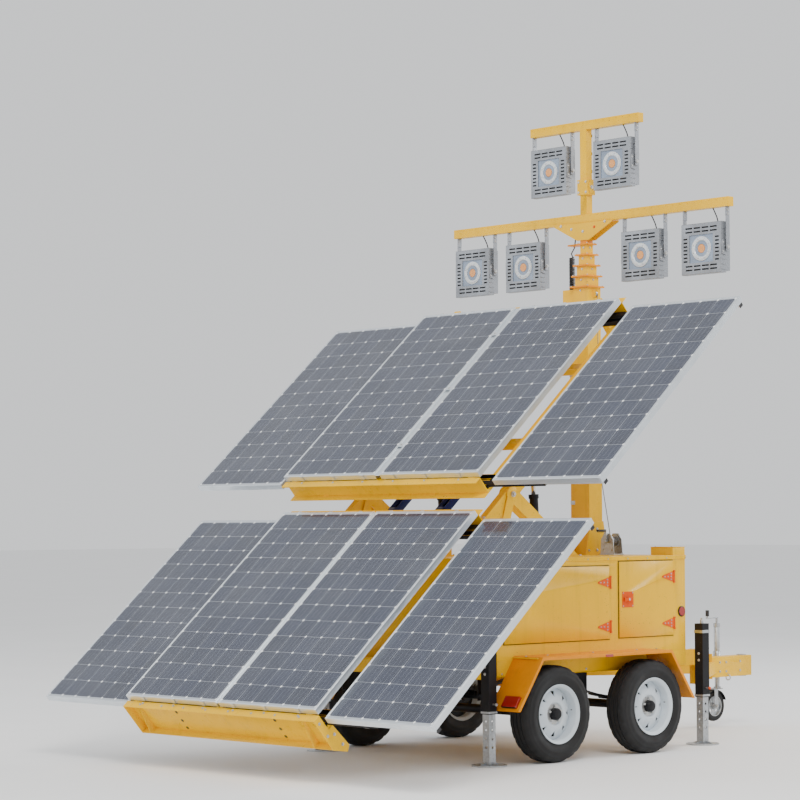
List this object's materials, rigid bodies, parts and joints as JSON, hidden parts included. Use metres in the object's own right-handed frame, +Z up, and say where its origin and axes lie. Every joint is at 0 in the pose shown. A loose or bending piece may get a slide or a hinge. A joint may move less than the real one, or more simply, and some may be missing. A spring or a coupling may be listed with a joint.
{
  "type": "solar light tower trailer",
  "caption": "Tandem-axle cabinet trailer with a tilting, sliding solar panel array, a telescopic floodlight mast, stabiliser jacks and a jockey wheel.",
  "frame": {"origin": "on the ground under the centre of the whole deployed trailer", "axes": "+Z up, +Y towards the drawbar, +X to the trailer's side with two doors"},
  "size_m": [4.198, 5.6886, 4.825],
  "materials": {
    "yellow_paint": "gloss enamel",
    "orange_paint": "gloss enamel",
    "black_paint": "satin enamel",
    "zinc_plate": "galvanised",
    "tyre_rubber": "moulded",
    "rim_paint": "gloss",
    "solar_glass": "silicon cells under glass in an aluminium frame",
    "light_alloy": "satin cast",
    "battery_case": "moulded",
    "controller_case": "powder coat",
    "red_lens": "moulded lens",
    "wire_rope": "stranded",
    "cable_rubber": "satin"
  },
  "bodies": {
    "root": {"chassis_frame": "yellow_paint", "drawbar": "yellow_paint", "cabinet_shell": "yellow_paint", "cabinet_roof": "yellow_paint", "battery_bank": "battery_case", "charge_controller": "controller_case", "fenders": "yellow_paint", "axles": "black_paint", "leaf_springs": "black_paint", "jack_housings": "black_paint", "tail_lamps": "red_lens", "array_supports": "yellow_paint", "mast_base_tube": "yellow_paint", "mast_support": "yellow_paint", "winch_frame": "zinc_plate", "winch_rope": "wire_rope", "head_cable": "cable_rubber"},
    "upper_array": {"upper_frame": "yellow_paint", "upper_centre_panels": "solar_glass"},
    "upper_right_side": {"upper_right_panel": "solar_glass"},
    "upper_left_side": {"upper_left_panel": "solar_glass"},
    "lower_array": {"lower_frame": "yellow_paint", "lower_centre_panels": "solar_glass"},
    "lower_right_side": {"lower_right_panel": "solar_glass"},
    "lower_left_side": {"lower_left_panel": "solar_glass"},
    "lift_barrel": {"lift_barrels": "black_paint"},
    "lift_rod": {"lift_rods": "zinc_plate"},
    "mast_section_2": {"mast_section_2": "yellow_paint"},
    "mast_section_3": {"mast_section_3": "yellow_paint"},
    "mast_section_4": {"mast_section_4": "yellow_paint"},
    "mast_head": {"mast_head": "yellow_paint"},
    "jockey_leg": {"jockey_leg": "zinc_plate"},
    "jockey_fork": {"jockey_fork": "zinc_plate"},
    "jockey_wheel": {"jockey_wheel": "tyre_rubber"},
    "jockey_crank": {"jockey_crank": "zinc_plate"},
    "winch_drum": {"winch_drum": "zinc_plate"},
    "light_1": {"light_1": "light_alloy"},
    "light_2": {"light_2": "light_alloy"},
    "light_3": {"light_3": "light_alloy"},
    "light_4": {"light_4": "light_alloy"},
    "light_5": {"light_5": "light_alloy"},
    "light_6": {"light_6": "light_alloy"},
    "right_rear_door": {"right_rear_door": "yellow_paint"},
    "right_rear_latch": {"right_rear_latch": "orange_paint"},
    "right_front_door": {"right_front_door": "yellow_paint"},
    "right_front_latch": {"right_front_latch": "orange_paint"},
    "left_door": {"left_door": "yellow_paint"},
    "left_latch": {"left_latch": "orange_paint"},
    "rear_right_wheel": {"rear_right_tyre": "tyre_rubber", "rear_right_rim": "rim_paint"},
    "rear_right_jack_leg": {"rear_right_jack_leg": "zinc_plate"},
    "rear_left_wheel": {"rear_left_tyre": "tyre_rubber", "rear_left_rim": "rim_paint"},
    "rear_left_jack_leg": {"rear_left_jack_leg": "zinc_plate"},
    "front_right_wheel": {"front_right_tyre": "tyre_rubber", "front_right_rim": "rim_paint"},
    "front_right_jack_leg": {"front_right_jack_leg": "zinc_plate"},
    "front_left_wheel": {"front_left_tyre": "tyre_rubber", "front_left_rim": "rim_paint"},
    "front_left_jack_leg": {"front_left_jack_leg": "zinc_plate"}
  },
  "joints": [
    {"name": "array_tilt", "type": "hinge", "parent": "root", "child": "upper_array", "pos_m": [0, -0.74572, 1.895], "axis": [1, 0, 0], "range_deg": [-28, 0]},
    {"name": "lower_array_slide", "type": "slide", "parent": "upper_array", "child": "lower_array", "axis": [0, 0.7547, 0.6561], "range_m": [0, 1.8]},
    {"name": "upper_right_slide", "type": "slide", "parent": "upper_array", "child": "upper_right_side", "axis": [-1, 0, 0], "range_m": [0, 1.077]},
    {"name": "upper_left_slide", "type": "slide", "parent": "upper_array", "child": "upper_left_side", "axis": [1, 0, 0], "range_m": [0, 1.077]},
    {"name": "lower_right_slide", "type": "slide", "parent": "lower_array", "child": "lower_right_side", "axis": [-1, 0, 0], "range_m": [0, 1.008]},
    {"name": "lower_left_slide", "type": "slide", "parent": "lower_array", "child": "lower_left_side", "axis": [1, 0, 0], "range_m": [0, 1.008]},
    {"name": "lift_swing", "type": "hinge", "parent": "root", "child": "lift_barrel", "pos_m": [0, -0.18572, 1.53], "axis": [1, 0, 0], "range_deg": [-10.4, 0.5]},
    {"name": "lift_extend", "type": "slide", "parent": "lift_barrel", "child": "lift_rod", "axis": [0, -0.0695, 0.9976], "range_m": [-0.2797, 0.002]},
    {"name": "mast_lift", "type": "slide", "parent": "root", "child": "mast_head", "axis": [0, 0, 1], "range_m": [0, 4.4], "deforming": ["head_cable"]},
    {"name": "section_2_lift", "type": "slide", "parent": "root", "child": "mast_section_2", "axis": [0, 0, 1], "range_m": [0, 1.1]},
    {"name": "section_3_lift", "type": "slide", "parent": "root", "child": "mast_section_3", "axis": [0, 0, 1], "range_m": [0, 2.2]},
    {"name": "section_4_lift", "type": "slide", "parent": "root", "child": "mast_section_4", "axis": [0, 0, 1], "range_m": [0, 3.3]},
    {"name": "light_1_tilt", "type": "hinge", "parent": "mast_head", "child": "light_1", "pos_m": [-1.2, 0.91928, 3.725], "axis": [1, 0, 0], "range_deg": [-30, 60]},
    {"name": "light_2_tilt", "type": "hinge", "parent": "mast_head", "child": "light_2", "pos_m": [-0.63, 0.91928, 3.725], "axis": [1, 0, 0], "range_deg": [-30, 60]},
    {"name": "light_3_tilt", "type": "hinge", "parent": "mast_head", "child": "light_3", "pos_m": [0.6, 0.91928, 3.725], "axis": [1, 0, 0], "range_deg": [-30, 60]},
    {"name": "light_4_tilt", "type": "hinge", "parent": "mast_head", "child": "light_4", "pos_m": [1.2, 0.91928, 3.725], "axis": [1, 0, 0], "range_deg": [-30, 60]},
    {"name": "light_5_tilt", "type": "hinge", "parent": "mast_head", "child": "light_5", "pos_m": [-0.345, 0.91928, 4.455], "axis": [1, 0, 0], "range_deg": [-30, 60]},
    {"name": "light_6_tilt", "type": "hinge", "parent": "mast_head", "child": "light_6", "pos_m": [0.32, 0.91928, 4.455], "axis": [1, 0, 0], "range_deg": [-30, 60]},
    {"name": "right_rear_door_swing", "type": "hinge", "parent": "root", "child": "right_rear_door", "pos_m": [0.831, 0.23328, 1.1025], "axis": [0, 0, 1], "range_deg": [0, 110]},
    {"name": "right_rear_latch_turn", "type": "hinge", "parent": "right_rear_door", "child": "right_rear_latch", "pos_m": [0.84, -0.79372, 1.1025], "axis": [1, 0, 0], "range_deg": [0, 90]},
    {"name": "right_front_door_swing", "type": "hinge", "parent": "root", "child": "right_front_door", "pos_m": [0.831, 0.95328, 1.12], "axis": [0, 0, 1], "range_deg": [0, 110]},
    {"name": "right_front_latch_turn", "type": "hinge", "parent": "right_front_door", "child": "right_front_latch", "pos_m": [0.84, 0.42628, 1.12], "axis": [1, 0, 0], "range_deg": [0, 90]},
    {"name": "left_door_swing", "type": "hinge", "parent": "root", "child": "left_door", "pos_m": [-0.831, 0.23328, 1.1025], "axis": [0, 0, -1], "range_deg": [0, 110]},
    {"name": "left_latch_turn", "type": "hinge", "parent": "left_door", "child": "left_latch", "pos_m": [-0.84, -0.79372, 1.1025], "axis": [-1, 0, 0], "range_deg": [0, 90]},
    {"name": "rear_right_wheel_spin", "type": "hinge", "parent": "root", "child": "rear_right_wheel", "pos_m": [0.989, -0.59172, 0.343], "axis": [1, 0, 0], "continuous": true},
    {"name": "rear_left_wheel_spin", "type": "hinge", "parent": "root", "child": "rear_left_wheel", "pos_m": [-0.989, -0.59172, 0.343], "axis": [1, 0, 0], "continuous": true},
    {"name": "front_right_wheel_spin", "type": "hinge", "parent": "root", "child": "front_right_wheel", "pos_m": [0.989, 0.42028, 0.343], "axis": [1, 0, 0], "continuous": true},
    {"name": "front_left_wheel_spin", "type": "hinge", "parent": "root", "child": "front_left_wheel", "pos_m": [-0.989, 0.42028, 0.343], "axis": [1, 0, 0], "continuous": true},
    {"name": "rear_right_jack_lift", "type": "slide", "parent": "root", "child": "rear_right_jack_leg", "axis": [0, 0, 1], "range_m": [0, 0.33]},
    {"name": "rear_left_jack_lift", "type": "slide", "parent": "root", "child": "rear_left_jack_leg", "axis": [0, 0, 1], "range_m": [0, 0.33]},
    {"name": "front_right_jack_lift", "type": "slide", "parent": "root", "child": "front_right_jack_leg", "axis": [0, 0, 1], "range_m": [0, 0.33]},
    {"name": "front_left_jack_lift", "type": "slide", "parent": "root", "child": "front_left_jack_leg", "axis": [0, 0, 1], "range_m": [0, 0.33]},
    {"name": "jockey_crank_turn", "type": "hinge", "parent": "root", "child": "jockey_crank", "pos_m": [-0.118, 2.61428, 0.84], "axis": [0, 0, 1], "range_deg": [-1350, 3000]},
    {"name": "jockey_leg_slide", "type": "slide", "parent": "root", "child": "jockey_leg", "axis": [0, 0, 1], "range_m": [-0.0455, 0.1005]},
    {"name": "jockey_swivel", "type": "hinge", "parent": "jockey_leg", "child": "jockey_fork", "pos_m": [-0.118, 2.61428, 0.32], "axis": [0, 0, 1], "continuous": true},
    {"name": "jockey_wheel_spin", "type": "hinge", "parent": "jockey_fork", "child": "jockey_wheel", "pos_m": [-0.118, 2.55928, 0.17], "axis": [1, 0, 0], "continuous": true},
    {"name": "winch_turn", "type": "hinge", "parent": "root", "child": "winch_drum", "pos_m": [0.235, 0.91928, 1.545], "axis": [0, -1, 0], "range_deg": [-5, 8137]}
  ],
  "couplings": [
    {"joint": "lift_swing", "follows": "array_tilt", "ratio": 0.36418},
    {"joint": "lift_extend", "follows": "array_tilt", "m_per_rad": 0.5682},
    {"joint": "section_2_lift", "follows": "mast_lift", "ratio": 0.25},
    {"joint": "section_3_lift", "follows": "mast_lift", "ratio": 0.5},
    {"joint": "section_4_lift", "follows": "mast_lift", "ratio": 0.75},
    {"joint": "jockey_leg_slide", "follows": "jockey_crank_turn", "m_per_rad": 0.00191},
    {"joint": "winch_turn", "follows": "mast_lift", "rad_per_m": 32.258}
  ]
}
